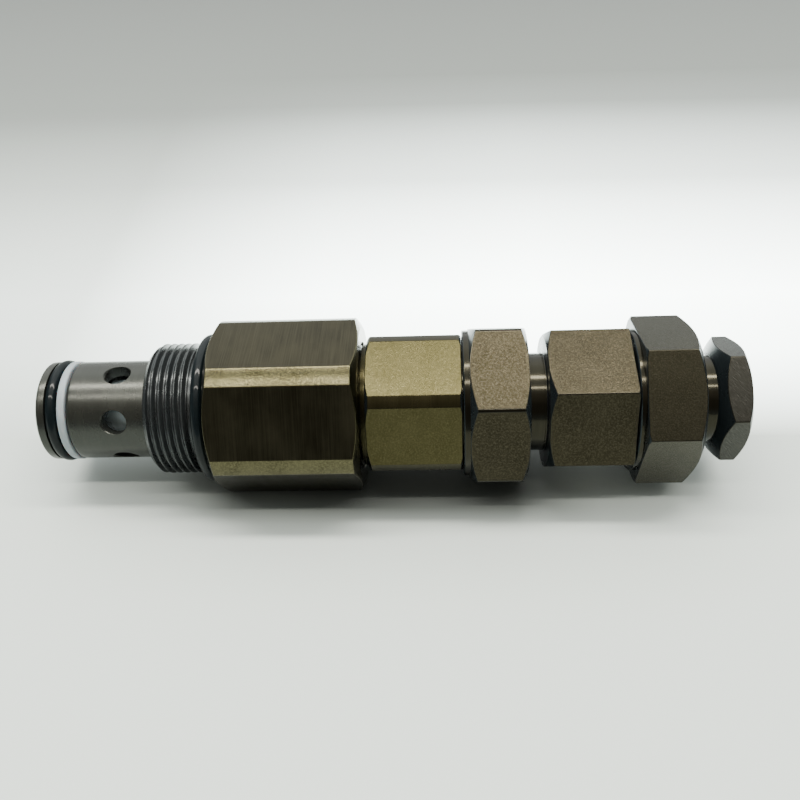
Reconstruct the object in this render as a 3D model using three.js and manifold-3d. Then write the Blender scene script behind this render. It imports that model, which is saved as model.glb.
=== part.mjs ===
// Two-stage pilot-operated main relief valve, made as a screw-in cartridge.
// Millimetres. The valve's axis is X, with the nose towards -X. +Z is up, and two flats
// of the body face +Z and -Z. The origin is on the axis at the middle of the length.
import * as THREE from "three";
import { mergeVertices } from "three/addons/utils/BufferGeometryUtils.js";
import Module from "manifold-3d";

const wasm = await Module();
wasm.setup();

// ---- driving dimensions ----

const OVERALL = 188.4; // nose face to end of the plug head
const NOSE = -OVERALL / 2;
const TAIL = OVERALL / 2;
const GAP = 0.3; // between pieces that touch
const SLIP = 0.25; // radial, between pieces that slide or screw in each other
const CHAMFER_SLOPE = Math.tan(Math.PI / 6); // 30 degrees to the end face

// sizes across flats
const BODY_FLATS = 44;
const HOUSING_FLATS = 36;
const NUT_1_FLATS = 40.4;
const ADJUSTER_FLATS = 36;
const NUT_2_FLATS = 39.7;
const PLUG_FLATS = 29.5;

// stations along X
const SEAT_FACE = -46.7; // body face that meets the manifold, behind the port O-ring
const BODY_END = -6.9;
const THREAD_START = -63.9;
const PORTS_AT = -73;
const MAIN_SEAT = -79;
const HOUSING_HEX = [-5.2, 20];
const NUT_1 = [20.3, 22, 37.3]; // washer face, hexagon, end
const ADJUSTER_HEX = [42.3, 64.6];
const NUT_2 = [64.9, 66.4, 81.4];
const PLUG_HEX = [86.4, TAIL];
const PILOT_SEAT = [-45.7, -36.3];
const PILOT_SEAT_WEB = -43.8; // where the main spring rests on the pilot seat

// threads: outside diameter and pitch
const PORT_THREAD = { diameter: 36, pitch: 2, crests: 6 };
const ADJUSTER_THREAD = 27.8; // M28 x 1.5, as a plain cylinder
const THREAD_RADIUS = ADJUSTER_THREAD / 2;
const THREAD_CLEARANCE = THREAD_RADIUS + GAP; // the holes it goes through

// radial ports in the sleeve
const PORT_COUNT = 6;
const PORT_DIAMETER = 7.2;
const PORT_FIRST_ANGLE = 26.5; // degrees from -Y towards +Z

// the turned positions of the hexagons: angle of one corner, from -Y towards +Z
const CORNER_ANGLE = {
  body: 0,
  housing: 43.3,
  nut1: 36.4,
  adjuster: 46.3,
  nut2: 14.1,
  plug: 19.9,
};

const SIDES = 28; // segments round a large turned piece
const INNER_SIDES = 18; // segments round a small or hidden piece
const RING_SIDES = 8; // segments round the section of a visible O-ring

// ---- materials ----

const finish = (color, roughness, metalness) =>
  new THREE.MeshStandardMaterial({ color, roughness, metalness });

const PLATED = () => finish(0x5c4f3e, 0.35, 0.9);
const GOLD = () => finish(0x8a7c4f, 0.35, 0.9);
const STEEL = () => finish(0x8d8d8a, 0.3, 1);
const RUBBER = () => finish(0x141516, 0.45, 0);
const PTFE = () => finish(0xe9ebee, 0.5, 0);

// ---- shape helpers ----

// A three.js geometry as a manifold-3d solid.
function solid(geometry) {
  const plain = geometry.clone();
  plain.deleteAttribute("normal");
  plain.deleteAttribute("uv");
  const merged = mergeVertices(plain, 1e-4);
  return new wasm.Manifold(
    new wasm.Mesh({
      numProp: 3,
      vertProperties: new Float32Array(merged.attributes.position.array),
      triVerts: new Uint32Array(merged.index.array),
    }),
  );
}

// A named mesh from a manifold-3d solid.
function piece(name, shape, material) {
  const { vertProperties, triVerts } = shape.getMesh();
  const geometry = new THREE.BufferGeometry();
  geometry.setAttribute("position", new THREE.BufferAttribute(vertProperties, 3));
  geometry.setIndex(new THREE.BufferAttribute(triVerts, 1));
  const flat = geometry.toNonIndexed();
  flat.computeVertexNormals();
  const mesh = new THREE.Mesh(flat, material);
  mesh.name = name;
  return mesh;
}

// A solid of revolution round X. The outline is a list of [x, radius], running from the
// axis at low x to the axis at high x, or closing on itself with the outer wall first.
function turned(outline, sides = SIDES) {
  const points = outline.map(([x, r]) => new THREE.Vector2(r, x));
  return solid(new THREE.LatheGeometry(points, sides).rotateZ(-Math.PI / 2));
}

// A solid of revolution with a through bore: outer outline and inner outline, both from
// low x to high x.
function turnedTube(outer, inner, sides = SIDES) {
  return turned([...outer, ...[...inner].reverse(), outer[0]], sides);
}

// The part of an outline that dips into a groove and comes back to the same radius.
function groove({ from, to, floor }, radius) {
  return [
    [from, radius],
    [from, floor],
    [to, floor],
    [to, radius],
  ];
}

// The straight-walled cutter for a stepped bore: each step is [from, to, radius].
function boreCutter(steps) {
  const outline = steps.flatMap(([from, to, radius]) => [
    [from, radius],
    [to, radius],
  ]);
  return turned([[steps[0][0], 0], ...outline, [steps.at(-1)[1], 0]]);
}

// A hexagonal bar along X, with one corner at the given angle from -Y towards +Z.
function hexBar(from, to, flats, cornerAngle) {
  const cornerRadius = flats / Math.sqrt(3);
  const bar = new THREE.CylinderGeometry(cornerRadius, cornerRadius, to - from, 6);
  bar.rotateZ(-Math.PI / 2);
  bar.rotateX(THREE.MathUtils.degToRad(90 - cornerAngle));
  bar.translate((from + to) / 2, 0, 0);
  return solid(bar);
}

// A hexagon with its corners turned: the bar inside a turned outline of [x, radius].
function turnedHex(flats, cornerAngle, outline) {
  const from = outline[0][0];
  const to = outline.at(-1)[0];
  const envelope = turned([[from, 0], ...outline, [to, 0]], 2 * SIDES);
  return hexBar(from, to, flats, cornerAngle).intersect(envelope);
}

// How far a 30 degree chamfer runs along X between two radii.
const chamferRun = (outer, inner) => (outer - inner) * CHAMFER_SLOPE;

// A closed ring of round section, as a solid of revolution. A hidden ring is coarser.
function oRing(x, innerRadius, section, hidden = false) {
  const outline = [];
  const ringSides = hidden ? 6 : RING_SIDES;
  for (let i = 0; i <= ringSides; i++) {
    const angle = (2 * Math.PI * (i % ringSides)) / ringSides;
    const radius = innerRadius + section / 2;
    outline.push([
      x - (section / 2) * Math.cos(angle),
      radius + (section / 2) * Math.sin(angle),
    ]);
  }
  return turned(outline, hidden ? INNER_SIDES : SIDES);
}

// The hidden O-ring that lies in a groove.
const grooveORing = ({ from, to, floor, ring }) =>
  oRing((from + to) / 2, floor + 0.15, ring, true);

// The path of a compression spring along X, with its end turns closed up.
class SpringPath extends THREE.Curve {
  constructor(from, to, radius, turns, wire) {
    super();
    Object.assign(this, { from, to, radius, turns, wire });
  }

  getPoint(t, target = new THREE.Vector3()) {
    const angle = 2 * Math.PI * this.turns * t;
    const dead = 1 / this.turns; // share of the wire in one closed end turn
    const live = THREE.MathUtils.clamp((t - dead) / (1 - 2 * dead), 0, 1);
    const closed = Math.min(t, dead) + Math.max(t - (1 - dead), 0);
    const step = 1.05 * this.wire; // between a closed turn and the next
    const free = this.to - this.from - this.wire - 2 * step;
    const x = this.from + this.wire / 2 + (closed / dead) * step + live * free;
    return target.set(x, this.radius * Math.cos(angle), this.radius * Math.sin(angle));
  }
}

// A compression spring of round wire.
function spring(from, to, outerRadius, wire, turns) {
  const section = new THREE.Shape();
  section.absarc(0, 0, wire / 2, 0, 2 * Math.PI);
  const path = new SpringPath(from, to, outerRadius - wire / 2, turns, wire);
  const shape = new THREE.ExtrudeGeometry(section, {
    extrudePath: path,
    steps: 8 * turns,
    curveSegments: 3,
    bevelEnabled: false,
  });
  return solid(shape);
}

// ---- nose: sleeve, its seals and the main poppet ----

const SLEEVE_RADIUS = 13.55;
const NOSE_DISC_RADIUS = 13.7;
const NOSE_GROOVE = { from: -91.8, to: -85.9, floor: 10.7 };
const BACKUP_RING = { from: -88.3, to: -86.2, bore: 11, radius: 13.6 };
const NOSE_O_RING = { x: -90.15, innerRadius: 11.05, section: 3.1 };
const INLET_RADIUS = 7.5;
const SEAT_CHAMFER = 1.4;
const POPPET_BORE = 10.3;
const POPPET_END = -51;
const POPPET_FLOOR = -75; // of the bore that holds the main spring
const POPPET_CUP = 7.4; // radius of that bore
const POPPET_FRONT = 8.3; // radius between the seat and the guide
const SHOULDER = { from: -59.7, to: -46, radius: 14.7 };
const SLEEVE_SEAL = { from: -55.2, to: -52.6, floor: 12.5, ring: 2.1 };

function sleeve() {
  const wall = turnedTube(
    [
      [NOSE, NOSE_DISC_RADIUS - 0.6],
      [NOSE + 0.5, NOSE_DISC_RADIUS],
      ...groove(NOSE_GROOVE, NOSE_DISC_RADIUS).slice(0, 3),
      [NOSE_GROOVE.to, SLEEVE_RADIUS - 0.4],
      [NOSE_GROOVE.to + 0.4, SLEEVE_RADIUS],
      [SHOULDER.from, SLEEVE_RADIUS],
      [SHOULDER.from, SHOULDER.radius],
      ...groove(SLEEVE_SEAL, SHOULDER.radius),
      [SHOULDER.to, SHOULDER.radius],
    ],
    [
      [NOSE, INLET_RADIUS + 0.8],
      [NOSE + 0.8, INLET_RADIUS],
      [MAIN_SEAT, INLET_RADIUS],
      [MAIN_SEAT + SEAT_CHAMFER, INLET_RADIUS + SEAT_CHAMFER],
      [MAIN_SEAT + SEAT_CHAMFER, POPPET_BORE],
      [SHOULDER.to, POPPET_BORE],
    ],
  );
  return wall.subtract(radialPorts());
}

// The drills for the ring of ports, each from the axis outwards.
function radialPorts() {
  const radius = PORT_DIAMETER / 2;
  const reach = SLEEVE_RADIUS + 1;
  let drills = null;
  for (let i = 0; i < PORT_COUNT; i++) {
    const drill = new THREE.CylinderGeometry(radius, radius, reach, 16);
    drill.translate(0, reach / 2, 0);
    const angle = PORT_FIRST_ANGLE + (360 / PORT_COUNT) * i;
    drill.rotateX(THREE.MathUtils.degToRad(180 - angle));
    drill.translate(PORTS_AT, 0, 0);
    drills = drills ? drills.add(solid(drill)) : solid(drill);
  }
  return drills;
}

const noseORing = () => oRing(NOSE_O_RING.x, NOSE_O_RING.innerRadius, NOSE_O_RING.section);

function noseBackupRing() {
  const { from, to, bore, radius } = BACKUP_RING;
  return turnedTube(
    [
      [from, radius],
      [to, radius],
    ],
    [
      [from, bore],
      [to, bore],
    ],
  );
}

const sleeveORing = () => grooveORing(SLEEVE_SEAL);

// The main poppet is a cup, open towards the main spring, with a reduced front.
function mainPoppet() {
  const guide = POPPET_BORE - SLIP;
  const tip = MAIN_SEAT - 1.4;
  const guideFrom = PORTS_AT + 6;
  return turned([
    [tip, 0],
    [tip, INLET_RADIUS - 1.2],
    [tip + 0.8, INLET_RADIUS - 0.6],
    [MAIN_SEAT + 1.8, POPPET_FRONT],
    [guideFrom - 1, POPPET_FRONT],
    [guideFrom, guide],
    [POPPET_END, guide],
    [POPPET_END, POPPET_CUP],
    [POPPET_FLOOR, POPPET_CUP],
    [POPPET_FLOOR, 0],
  ]);
}

const mainSpring = () =>
  spring(POPPET_FLOOR + GAP, PILOT_SEAT_WEB - GAP, POPPET_CUP - 0.5, 1.6, 8);

// ---- body ----

const BODY_TURNED_RADIUS = 24;
const SEAT_FACE_RADIUS = 21.7;
const BODY_END_RADIUS = 21.6;
const BODY_BORE = 15;
const BODY_BACK_BORE = 16.3;
const BODY_BACK_FROM = -31.9;
const COUNTERBORE = { from: -9.8, radius: 17.4 };
const PORT_O_RING = { innerRadius: 17.1, section: 3.4 };
const O_RING_LAND = 16.75;
const RELIEF = { from: -52.2, to: -50.6, radius: 16.2 };

// The male thread as a row of rings of the thread's own section.
function threadOutline() {
  const crest = PORT_THREAD.diameter / 2;
  const root = crest - 0.6 * PORT_THREAD.pitch;
  const outline = [[THREAD_START, root - 0.3]];
  for (let i = 0; i < PORT_THREAD.crests; i++) {
    const x = THREAD_START + 0.5 + PORT_THREAD.pitch * i;
    outline.push([x, crest], [x + PORT_THREAD.pitch / 2, root]);
  }
  return outline;
}

function valveBody() {
  const hex = turnedHex(BODY_FLATS, CORNER_ANGLE.body, [
    [SEAT_FACE, SEAT_FACE_RADIUS],
    [SEAT_FACE + chamferRun(BODY_TURNED_RADIUS, SEAT_FACE_RADIUS), BODY_TURNED_RADIUS],
    [BODY_END - chamferRun(BODY_TURNED_RADIUS, BODY_END_RADIUS), BODY_TURNED_RADIUS],
    [BODY_END, BODY_END_RADIUS],
  ]);
  const nose = turned([
    [THREAD_START, 0],
    ...threadOutline(),
    [RELIEF.from, RELIEF.radius],
    [RELIEF.to, RELIEF.radius],
    [RELIEF.to, O_RING_LAND],
    [SEAT_FACE + 2, O_RING_LAND],
    [SEAT_FACE + 2, 0],
  ]);
  const bore = boreCutter([
    [THREAD_START - 1, SHOULDER.from - GAP, SLEEVE_RADIUS + GAP],
    [SHOULDER.from - GAP, BODY_BACK_FROM, BODY_BORE],
    [BODY_BACK_FROM, COUNTERBORE.from, BODY_BACK_BORE],
    [COUNTERBORE.from, BODY_END + 1, COUNTERBORE.radius],
  ]);
  return hex.add(nose).subtract(bore);
}

const portORing = () => {
  const { innerRadius, section } = PORT_O_RING;
  return oRing(SEAT_FACE - section / 2 - GAP, innerRadius, section);
};

// ---- pilot stage ----

const SPRING_CHAMBER = 9;
const PILOT_HOLE = 2;
const PILOT_SEAT_CUP = 7.6; // radius of the recess that holds the end of the main spring
const PILOT_SEAL = { from: -42.4, to: -39.8, floor: 12.5, ring: 2.1 };
const PILOT_STEM = 3.4; // radius of the spring guides of the poppet and the spring seat
const PILOT_FLANGE = 6.8;
const PILOT_SPRING = [-30.2, 3.7]; // between the flanges
const HOUSING_TURNED_RADIUS = 19.9;
const HOUSING_FACE_RADIUS = 18.3;
const HOUSING_END_RADIUS = 19;
const HOUSING_STEM = { from: -36, pilot: -31.5, radius: 16 };
const HOUSING_COLLAR = 16.75;
const HOUSING_SEAL = { from: -9.9, to: BODY_END + GAP, floor: 15.2, ring: 1.9 };
const ADJUSTER_BORE = 11.3; // in the housing, round the adjuster's inner end

function pilotSeat() {
  const [from, to] = PILOT_SEAT;
  const radius = SHOULDER.radius;
  return turnedTube(
    [
      [from, radius],
      ...groove(PILOT_SEAL, radius),
      [to, radius],
    ],
    [
      [from, PILOT_SEAT_CUP],
      [PILOT_SEAT_WEB, PILOT_SEAT_CUP],
      [PILOT_SEAT_WEB, PILOT_HOLE],
      [to - 1, PILOT_HOLE],
      [to, PILOT_HOLE + 1],
    ],
  );
}

const pilotSeatORing = () => grooveORing(PILOT_SEAL);

// The pilot poppet is a cone with a flange for the pilot spring and a guide inside it.
function pilotPoppet() {
  const flangeTo = PILOT_SPRING[0] - GAP;
  const flangeFrom = flangeTo - 2;
  const coneTo = flangeFrom - 2;
  const tip = coneTo - 4.1;
  const end = flangeTo + 4.5;
  return turned(
    [
      [tip, 0],
      [tip, 0.4],
      [coneTo, 3.5],
      [flangeFrom, 3.5],
      [flangeFrom, PILOT_FLANGE],
      [flangeTo, PILOT_FLANGE],
      [flangeTo, PILOT_STEM],
      [end - 0.4, PILOT_STEM],
      [end, PILOT_STEM - 0.4],
      [end, 0],
    ],
    INNER_SIDES,
  );
}

const pilotSpring = () => spring(...PILOT_SPRING, PILOT_FLANGE - 0.2, 2.2, 8);

function springSeat() {
  const flangeFrom = PILOT_SPRING[1] + GAP;
  const start = flangeFrom - 4.6;
  const end = flangeFrom + 2.5;
  return turned(
    [
      [start, 0],
      [start, PILOT_STEM - 0.4],
      [start + 0.4, PILOT_STEM],
      [flangeFrom, PILOT_STEM],
      [flangeFrom, PILOT_FLANGE],
      [end, PILOT_FLANGE],
      [end, 0],
    ],
    INNER_SIDES,
  );
}

function pilotHousing() {
  const [from, to] = HOUSING_HEX;
  const hex = turnedHex(HOUSING_FLATS, CORNER_ANGLE.housing, [
    [from, HOUSING_FACE_RADIUS],
    [from + chamferRun(HOUSING_TURNED_RADIUS, HOUSING_FACE_RADIUS), HOUSING_TURNED_RADIUS],
    [to - chamferRun(HOUSING_TURNED_RADIUS, HOUSING_END_RADIUS), HOUSING_TURNED_RADIUS],
    [to, HOUSING_END_RADIUS],
  ]);
  const stem = turned([
    [HOUSING_STEM.from, 0],
    [HOUSING_STEM.from, SHOULDER.radius - 0.5],
    [HOUSING_STEM.from + 0.5, SHOULDER.radius],
    [HOUSING_STEM.pilot, SHOULDER.radius],
    [HOUSING_STEM.pilot, HOUSING_STEM.radius],
    ...groove(HOUSING_SEAL, HOUSING_STEM.radius).slice(0, 3),
    [HOUSING_SEAL.to, HOUSING_COLLAR],
    [from + 1, HOUSING_COLLAR],
    [from + 1, 0],
  ]);
  const bore = boreCutter([
    [HOUSING_STEM.from - 1, -16, SPRING_CHAMBER],
    [-16, -2.5, ADJUSTER_BORE],
    [-2.5, to + 1, THREAD_CLEARANCE],
  ]);
  return hex.add(stem).subtract(bore);
}

const housingORing = () => grooveORing(HOUSING_SEAL);

// A lock nut: a hexagon chamfered at both ends, a round washer face and a bore. radii are
// those of the washer face, of the hexagon's face behind it and of the hexagon's end.
function lockNut([washer, hexFrom, end], flats, cornerAngle, radii) {
  const corner = flats / Math.sqrt(3) + 0.01;
  const hex = turnedHex(flats, cornerAngle, [
    [hexFrom, radii.hexFace],
    [hexFrom + chamferRun(corner, radii.hexFace), corner],
    [end - chamferRun(corner, radii.end), corner],
    [end, radii.end],
  ]);
  const face = turned([
    [washer, 0],
    [washer, radii.washer - 0.3],
    [washer + 0.3, radii.washer],
    [hexFrom + 0.2, radii.washer],
    [hexFrom + 0.2, 0],
  ]);
  return hex.add(face).subtract(boreCutter([[washer - 1, end + 1, THREAD_CLEARANCE]]));
}

const lockNut1 = () =>
  lockNut(NUT_1, NUT_1_FLATS, CORNER_ANGLE.nut1, { washer: 20, hexFace: 20.1, end: 20.3 });

const lockNut2 = () =>
  lockNut(NUT_2, NUT_2_FLATS, CORNER_ANGLE.nut2, { washer: 19.25, hexFace: 21.9, end: 19.4 });

// ---- adjuster, signal piston and end plug ----

const NECK_RADIUS = 13.4;
const PLUG_NECK_RADIUS = 11.8;
const PLUG_SHOULDER_RADIUS = 12.3;
const PISTON_BORE = 10.3;
const PLUG_SEAL_BORE = 11.8;
const PLUG_SEAL_BORE_TO = 58;
const SPRING_SEAT_BORE = 7.6;
const SIGNAL_PORT_RADIUS = 5.9; // G 1/4
const PASSAGE_RADIUS = 1.5; // from the signal port to the piston
const ADJUSTER_STEM = { from: -11, to: 2, radius: 11 };
const ADJUSTER_SEAL = { from: -6.5, to: -4.1, floor: 9.1, ring: 1.9 };
const ADJUSTER_FACE_RADIUS = 18;
const PISTON_FRONT = [6.8, 31]; // the slim end that pushes the spring seat
const PISTON_BORE_FROM = PISTON_FRONT[1] - 5.5;
const PISTON_SEAL = { from: 43.8, to: 46.2, floor: 8.2, ring: 1.85 };
const PISTON_END = 51.9;
const PLUG_START = PISTON_END + GAP;
const PLUG_SEAL = { from: 53.1, to: 55.5, floor: 9.7, ring: 1.85 };
const SIGNAL_PORT_FROM = 82;

function adjuster() {
  const [from, to] = ADJUSTER_HEX;
  const corner = ADJUSTER_FLATS / Math.sqrt(3) + 0.01;
  const hex = turnedHex(ADJUSTER_FLATS, CORNER_ANGLE.adjuster, [
    [from, ADJUSTER_FACE_RADIUS],
    [from + chamferRun(corner, ADJUSTER_FACE_RADIUS), corner],
    [to - 0.4, corner],
    [to, corner - 0.7],
  ]);
  const stem = turned([
    [ADJUSTER_STEM.from, 0],
    [ADJUSTER_STEM.from, ADJUSTER_STEM.radius - 0.5],
    [ADJUSTER_STEM.from + 0.5, ADJUSTER_STEM.radius],
    ...groove(ADJUSTER_SEAL, ADJUSTER_STEM.radius),
    [ADJUSTER_STEM.to, ADJUSTER_STEM.radius],
    [ADJUSTER_STEM.to, THREAD_RADIUS - 1],
    [ADJUSTER_STEM.to + 1, THREAD_RADIUS],
    [NUT_1[2], THREAD_RADIUS],
    [NUT_1[2], NECK_RADIUS],
    [from + 1, NECK_RADIUS],
    [from + 1, 0],
  ]);
  const bore = boreCutter([
    [ADJUSTER_STEM.from - 1, PISTON_BORE_FROM, SPRING_SEAT_BORE],
    [PISTON_BORE_FROM, PISTON_END - 3.4, PISTON_BORE],
    [PISTON_END - 3.4, PLUG_SEAL_BORE_TO, PLUG_SEAL_BORE],
    [PLUG_SEAL_BORE_TO, to + 1, THREAD_CLEARANCE],
  ]);
  return hex.add(stem).subtract(bore);
}

const adjusterORing = () => grooveORing(ADJUSTER_SEAL);

function signalPiston() {
  const [from, headFrom] = PISTON_FRONT;
  const front = 6.5;
  const guide = PISTON_BORE - SLIP;
  return turned([
    [from, 0],
    [from, front - 0.5],
    [from + 0.5, front],
    [headFrom, front],
    [headFrom, guide],
    ...groove(PISTON_SEAL, guide),
    [PISTON_END, guide],
    [PISTON_END, 0],
  ]);
}

const pistonORing = () => grooveORing(PISTON_SEAL);

function endPlug() {
  const [from, to] = PLUG_HEX;
  const corner = PLUG_FLATS / Math.sqrt(3) + 0.01;
  const endRadius = PLUG_FLATS / 2 - 0.1;
  const hex = turnedHex(PLUG_FLATS, CORNER_ANGLE.plug, [
    [from, PLUG_SHOULDER_RADIUS],
    [from + chamferRun(corner, PLUG_SHOULDER_RADIUS), corner],
    [to - chamferRun(corner, endRadius), corner],
    [to, endRadius],
  ]);
  const front = PLUG_SEAL_BORE - SLIP;
  const threadFrom = PLUG_SEAL_BORE_TO + 2;
  const threadTo = NUT_2[2] - 1;
  const stem = turned([
    [PLUG_START, 0],
    [PLUG_START, front],
    ...groove(PLUG_SEAL, front),
    [threadFrom, front],
    [threadFrom, THREAD_RADIUS - 1],
    [threadFrom + 1, THREAD_RADIUS],
    [threadTo, THREAD_RADIUS],
    [threadTo, PLUG_NECK_RADIUS],
    [from + 1, PLUG_NECK_RADIUS],
    [from + 1, 0],
  ]);
  const passage = turned([
    [PLUG_START - 1, 0],
    [PLUG_START - 1, PASSAGE_RADIUS],
    [SIGNAL_PORT_FROM, PASSAGE_RADIUS],
    [SIGNAL_PORT_FROM, SIGNAL_PORT_RADIUS],
    [to - 0.8, SIGNAL_PORT_RADIUS],
    [to, SIGNAL_PORT_RADIUS + 0.8],
    [to + 1, SIGNAL_PORT_RADIUS + 0.8],
    [to + 1, 0],
  ]);
  return hex.add(stem).subtract(passage);
}

const endPlugORing = () => grooveORing(PLUG_SEAL);

// ---- assembly ----

const valve = new THREE.Group();

const nose = new THREE.Group();
nose.add(
  piece("sleeve", sleeve(), PLATED()),
  piece("nose_o_ring", noseORing(), RUBBER()),
  piece("nose_backup_ring", noseBackupRing(), PTFE()),
  piece("sleeve_o_ring", sleeveORing(), RUBBER()),
  piece("main_poppet", mainPoppet(), STEEL()),
  piece("main_spring", mainSpring(), STEEL()),
);

const body = new THREE.Group();
body.add(
  piece("valve_body", valveBody(), PLATED()),
  piece("port_o_ring", portORing(), RUBBER()),
);

const pilotStage = new THREE.Group();
pilotStage.add(
  piece("pilot_seat", pilotSeat(), STEEL()),
  piece("pilot_seat_o_ring", pilotSeatORing(), RUBBER()),
  piece("pilot_poppet", pilotPoppet(), STEEL()),
  piece("pilot_spring", pilotSpring(), STEEL()),
  piece("spring_seat", springSeat(), STEEL()),
  piece("pilot_housing", pilotHousing(), GOLD()),
  piece("housing_o_ring", housingORing(), RUBBER()),
);

const adjustment = new THREE.Group();
adjustment.add(
  piece("lock_nut_1", lockNut1(), PLATED()),
  piece("adjuster", adjuster(), PLATED()),
  piece("adjuster_o_ring", adjusterORing(), RUBBER()),
  piece("signal_piston", signalPiston(), STEEL()),
  piece("piston_o_ring", pistonORing(), RUBBER()),
  piece("lock_nut_2", lockNut2(), PLATED()),
  piece("end_plug", endPlug(), PLATED()),
  piece("end_plug_o_ring", endPlugORing(), RUBBER()),
);

valve.add(nose, body, pilotStage, adjustment);

export default valve;
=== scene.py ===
import math

import bmesh
import bpy
from mathutils import Matrix, Vector


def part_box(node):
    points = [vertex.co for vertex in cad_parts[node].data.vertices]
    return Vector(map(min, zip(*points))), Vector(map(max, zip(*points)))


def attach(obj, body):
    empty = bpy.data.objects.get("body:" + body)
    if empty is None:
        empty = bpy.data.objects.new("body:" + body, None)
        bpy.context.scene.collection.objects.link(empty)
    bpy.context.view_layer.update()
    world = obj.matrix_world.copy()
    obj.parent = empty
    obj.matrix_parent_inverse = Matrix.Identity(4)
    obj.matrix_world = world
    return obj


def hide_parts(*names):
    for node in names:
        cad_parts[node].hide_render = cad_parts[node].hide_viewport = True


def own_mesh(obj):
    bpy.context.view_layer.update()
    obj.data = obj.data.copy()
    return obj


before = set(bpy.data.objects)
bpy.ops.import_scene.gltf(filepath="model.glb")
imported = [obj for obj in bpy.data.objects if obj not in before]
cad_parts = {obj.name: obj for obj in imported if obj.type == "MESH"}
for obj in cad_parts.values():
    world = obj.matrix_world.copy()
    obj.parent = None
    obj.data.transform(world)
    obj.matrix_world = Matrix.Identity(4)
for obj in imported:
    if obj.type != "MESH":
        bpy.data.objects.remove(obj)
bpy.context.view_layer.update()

# Outlines are in millimetres, as [x along the valve's axis, radius]; meshes are in metres.
MM = 0.001
TURN = 2 * math.pi


# ---- camera ----

LENS = 38.25
AZIMUTH = math.radians(3.98)
ELEVATION = math.radians(41.6)
ROLL = math.radians(3.77)
DISTANCE = 0.2359
AIM = Vector((0.0031, 0.0007, 0.0008))


def add_camera():
    away = Vector((
        math.sin(AZIMUTH) * math.cos(ELEVATION),
        -math.cos(AZIMUTH) * math.cos(ELEVATION),
        math.sin(ELEVATION),
    ))
    data = bpy.data.cameras.new("camera")
    data.lens = LENS
    data.clip_start = 0.01
    camera = bpy.data.objects.new("camera", data)
    bpy.context.scene.collection.objects.link(camera)
    level = away.to_track_quat("Z", "Y").to_matrix().to_4x4()
    roll = Matrix.Rotation(-ROLL, 4, "Z")
    camera.matrix_world = Matrix.Translation(AIM + DISTANCE * away) @ level @ roll
    bpy.context.scene.camera = camera


add_camera()


# ---- sizes, from the frame where it holds them ----

def span(node):
    """The lowest and highest x of a CAD node, in millimetres."""
    low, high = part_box(node)
    return low.x / MM, high.x / MM


SEAT_FACE = -46.7
BODY_FLATS = 44
HOUSING_FLATS = 36
NUT_1_FLATS = 40.4
ADJUSTER_FLATS = 36
NUT_2_FLATS = 39.7
PLUG_FLATS = 29.5

# One corner of each hexagon, in degrees round the axis from -Y towards +Z.
BODY_CORNER = 0
HOUSING_CORNER = 43.3
NUT_1_CORNER = 36.4
ADJUSTER_CORNER = 46.3
NUT_2_CORNER = 14.1
PLUG_CORNER = 19.9

CHAMFER_SLOPE = math.tan(math.radians(30))
NECK_RADIUS = 13.4
PLUG_NECK_RADIUS = 11.8
STEM_THREAD_RADIUS = 13.9
NUT_BORE = 14.2
SHOULDER_RADIUS = 14.7
STEM_RADIUS = 11
POPPET_BORE = 10.3
PLUG_BORE = 11.8
SLIDING_GAP = 0.25
PASSAGE_RADIUS = 1.5


# ---- mesh making ----

# Lengths below this many millimetres count as nothing.
TINY = 1e-4

# Points closer than this, in metres, become one.
WELD = 2e-7

FILLET_STEPS = 3
STEPS_AROUND = 160
RING_SIDES = 28


def fillet(corners):
    """Points of an outline whose corners [x, radius, fillet] are rounded with short curves.
    The first and the last corner, and one without a fillet, are one point each."""
    points = []
    count = len(corners)
    for i, corner in enumerate(corners):
        size = corner[2] if len(corner) > 2 else 0
        here = Vector(corner[:2])
        if not size or i in (0, count - 1):
            points.append(here)
            continue
        before = Vector(corners[i - 1][:2]) - here
        after = Vector(corners[i + 1][:2]) - here
        room = 0.45 * min(before.length, after.length)
        if room < TINY:
            points += [here.copy() for _ in range(FILLET_STEPS + 1)]
            continue
        start = here + before.normalized() * min(size, room)
        end = here + after.normalized() * min(size, room)
        for k in range(FILLET_STEPS + 1):
            t = k / FILLET_STEPS
            points.append((1 - t) ** 2 * start + 2 * t * (1 - t) * here + t * t * end)
    return points


def finish_mesh(name, verts, faces, sharp=None):
    """An object from vertices and faces in millimetres, closed, with its faces out."""
    mesh = bpy.data.meshes.new(name)
    mesh.from_pydata([(x * MM, y * MM, z * MM) for x, y, z in verts], [], faces)
    work = bmesh.new()
    work.from_mesh(mesh)
    bmesh.ops.remove_doubles(work, verts=work.verts, dist=WELD)
    bmesh.ops.dissolve_degenerate(work, edges=work.edges, dist=WELD / 2)
    bmesh.ops.recalc_face_normals(work, faces=work.faces)
    for face in work.faces:
        face.smooth = True
    work.to_mesh(mesh)
    work.free()
    if sharp is not None:
        mesh.set_sharp_from_angle(angle=math.radians(sharp))
    piece = bpy.data.objects.new(name, mesh)
    bpy.context.scene.collection.objects.link(piece)
    return piece


def revolve(name, outline_at, angles, sharp=None):
    """A solid whose outline at each angle round the axis is outline_at(angle). Every
    outline has the same number of points and starts and ends on the axis, or is a loop."""
    rings = [outline_at(angle) for angle in angles]
    size = len(rings[0])
    on_axis = rings[0][0][1] < TINY
    verts = []
    for angle, ring in zip(angles, rings):
        for x, r in ring:
            verts.append((x, -r * math.cos(angle), r * math.sin(angle)))
    faces = []
    turns = len(rings)
    for i in range(turns):
        j = (i + 1) % turns
        for k in range(size - 1 if on_axis else size):
            n = (k + 1) % size
            faces.append((i * size + k, i * size + n, j * size + n, j * size + k))
    return finish_mesh(name, verts, faces, sharp)


def even_angles(count):
    return [TURN * i / count for i in range(count)]


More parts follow.
